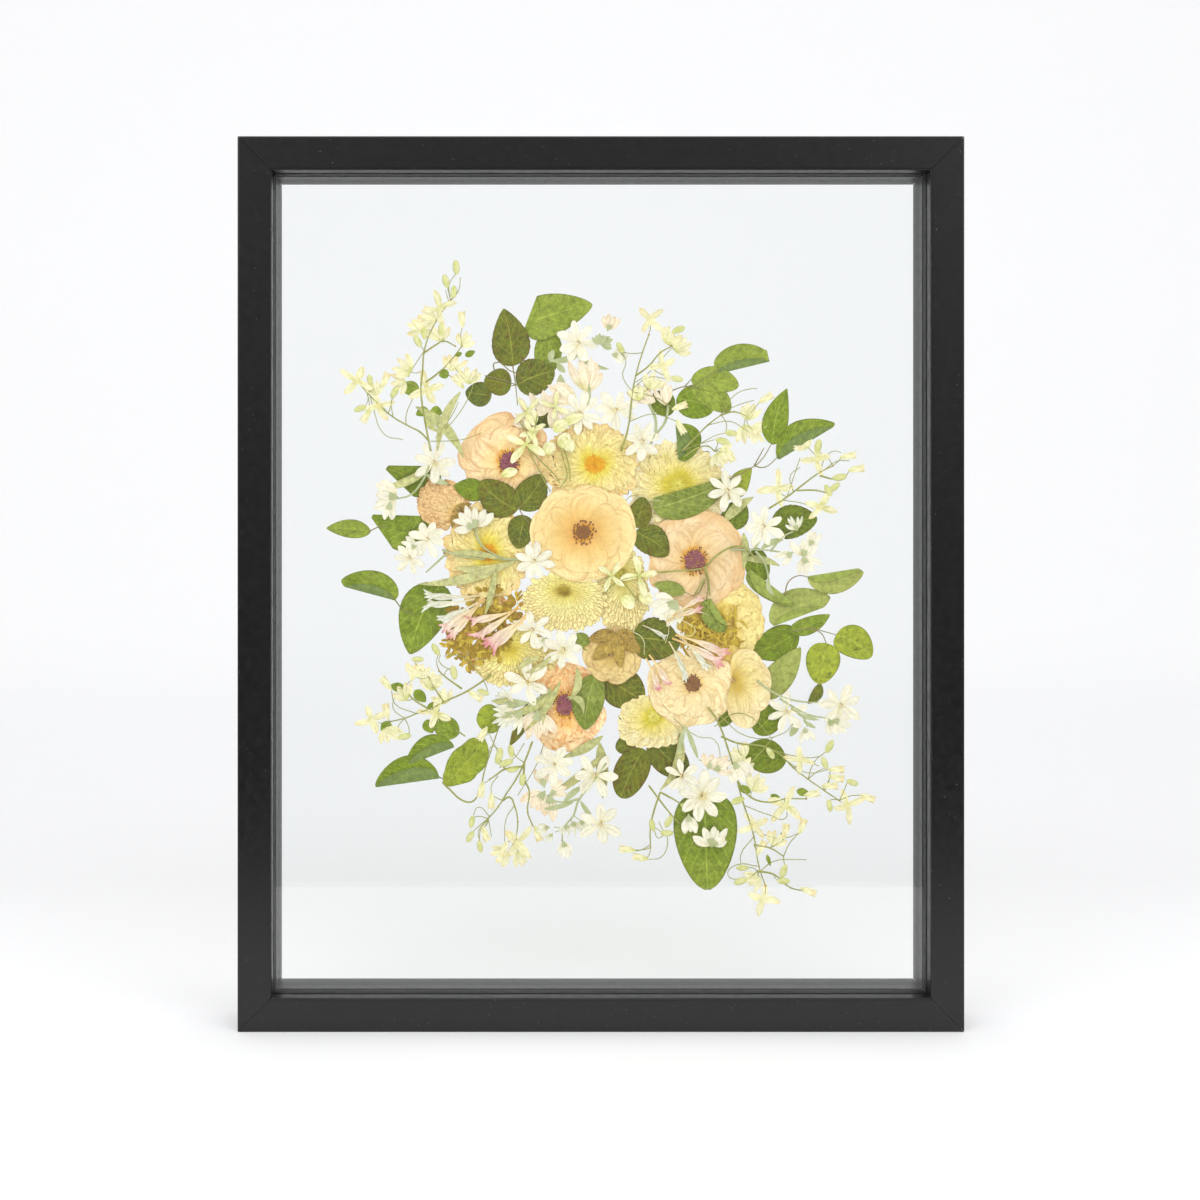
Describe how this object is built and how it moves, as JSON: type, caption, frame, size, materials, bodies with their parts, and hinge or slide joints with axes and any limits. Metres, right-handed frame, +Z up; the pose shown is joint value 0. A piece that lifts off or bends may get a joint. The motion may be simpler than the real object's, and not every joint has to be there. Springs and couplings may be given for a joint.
{
  "type": "pressed flower frame",
  "caption": "Upright see-through picture frame with a black mitred border and two glass panes holding a loose bouquet of pressed flowers, leaves and fine sprays.",
  "frame": {"origin": "middle of the underside of the bottom rail, halfway between front and back", "axes": "+Z up along the frame's height, +X to the right seen from the front, -Y out of the front"},
  "size_m": [0.4374, 0.035, 0.539],
  "materials": {
    "frame_black": "matt black painted wood, lightly rounded edges, mitred corners",
    "strip_black": "black painted wood bead behind the glass",
    "clear_glass": "clear float glass with polished faces",
    "spacer_black": "black strip between the panes",
    "petal_peach": "dried papery petals, peach to pink-peach with browned rims",
    "petal_butter": "dried smooth butter-yellow petals with thin darker outlines",
    "petal_cream": "dried cream petals with brown folds",
    "petal_yellow": "dried thin yellow petals, streaked, orange in the middle",
    "petal_pale_yellow": "dried thin pale yellow-green petals with fine brown edges",
    "leaf_dark": "dried dark olive leaf with pale veins",
    "leaf_grey_green": "dried leaf, grey-green underside showing",
    "leaf_green": "dried mid-green leaf, folded parts grey-green",
    "clematis_cream": "dried cream four-petalled flowers on olive hair-thin stems",
    "petal_white": "dried white narrow petals with a brown-dotted middle",
    "tube_flower_pink": "dried cream tube flowers with pink tips"
  },
  "bodies": {
    "root": {"clematis_bottom_left": "clematis_cream", "clematis_left": "clematis_cream", "clematis_lower_right": "clematis_cream", "clematis_right": "clematis_cream", "clematis_upper_left": "clematis_cream", "clematis_upper_middle": "clematis_cream", "clematis_upper_right": "clematis_cream", "crinkled_bloom_right": "petal_yellow", "crumpled_bloom_left": "petal_peach", "dark_leaf_right": "leaf_dark", "dark_leaf_upper_right": "leaf_dark", "folded_leaf_left": "leaf_green", "folded_leaf_top": "leaf_green", "forked_shoot": "leaf_green", "grey_leaf_middle": "leaf_grey_green", "half_bloom_right": "petal_cream", "large_leaf_bottom": "leaf_green", "leaves_far_left": "leaf_green", "leaves_lower_far_left": "leaf_green", "long_leaf_right": "leaf_grey_green", "mum_bottom": "petal_yellow", "mum_left": "petal_yellow", "mum_lower_left": "petal_yellow", "mum_middle": "petal_pale_yellow", "mum_small": "petal_pale_yellow", "mum_upper": "petal_yellow", "mum_upper_right": "petal_pale_yellow", "pane_back": "clear_glass", "pane_front": "clear_glass", "rail_bottom": "frame_black", "rail_left": "frame_black", "rail_right": "frame_black", "rail_top": "frame_black", "ranunculus_bottom": "petal_peach", "ranunculus_closed": "petal_cream", "ranunculus_lower_right": "petal_cream", "ranunculus_middle": "petal_butter", "ranunculus_right": "petal_peach", "ranunculus_upper_left": "petal_peach", "rose_leaf_left": "leaf_dark", "rose_leaf_right": "leaf_dark", "rose_leaf_top": "leaf_dark", "round_leaf_middle": "leaf_dark", "shoot_far_right": "leaf_green", "shoot_lower_left": "leaf_green", "shoot_right": "leaf_grey_green", "shoot_upper_right": "leaf_green", "spacer": "spacer_black", "strip_bottom": "strip_black", "strip_left": "strip_black", "strip_right": "strip_black", "strip_top": "strip_black", "tube_flowers_left": "tube_flower_pink", "tube_flowers_right": "tube_flower_pink", "white_flowers_bottom": "petal_white", "white_flowers_lower_right": "petal_white", "white_flowers_right": "petal_white", "wide_leaf_right": "leaf_green"}
  },
  "joints": []
}
